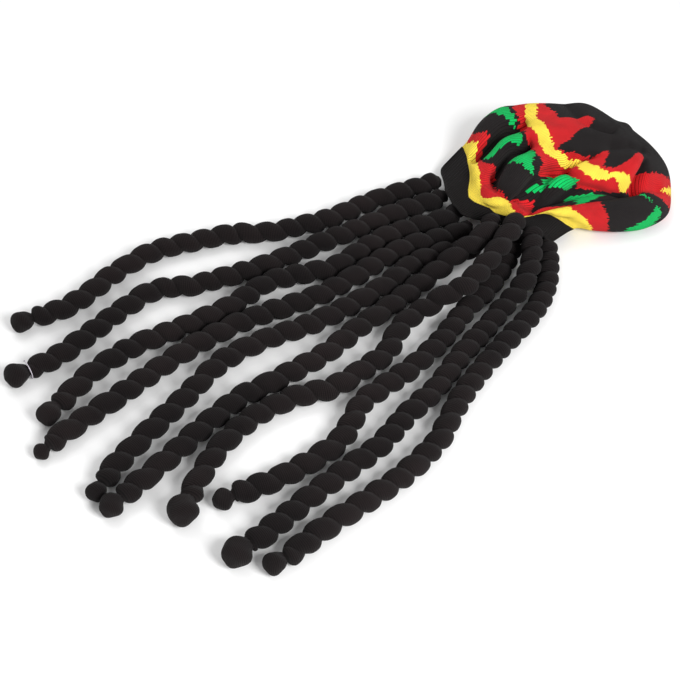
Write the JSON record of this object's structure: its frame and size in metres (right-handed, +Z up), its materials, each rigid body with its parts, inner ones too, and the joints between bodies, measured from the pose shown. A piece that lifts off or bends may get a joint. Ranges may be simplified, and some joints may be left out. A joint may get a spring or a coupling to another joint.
{
  "type": "knitted rasta tam with twisted locks",
  "caption": "Slouchy striped knit cap lying on its side, ribbed head band at its opening, with long stuffed twisted locks tied off in knots",
  "frame": {"origin": "on the floor under the middle of the cap, measured without the locks", "axes": "+X along the length of the lying cap, from the locks' side to the crown; +Y from the front edge to the back; +Z up"},
  "size_m": [0.786, 0.6706, 0.0718],
  "materials": {
    "band_knit": "ribbed knit, matt black",
    "crown_knit": "plain knit with red, yellow, green and black zigzag stripes",
    "lock_knit": "fine knit tube, stuffed and twisted, matt brown black"
  },
  "bodies": {
    "root": {"band": "band_knit", "crown": "crown_knit", "lock_01": "lock_knit", "lock_02": "lock_knit", "lock_03": "lock_knit", "lock_04": "lock_knit", "lock_05": "lock_knit", "lock_06": "lock_knit", "lock_07": "lock_knit", "lock_08": "lock_knit", "lock_09": "lock_knit", "lock_10": "lock_knit", "knot_01": "lock_knit", "knot_02": "lock_knit", "knot_03": "lock_knit", "knot_04": "lock_knit", "knot_05": "lock_knit", "knot_06": "lock_knit", "knot_07": "lock_knit", "knot_08": "lock_knit", "knot_09": "lock_knit", "knot_10": "lock_knit"}
  },
  "joints": []
}
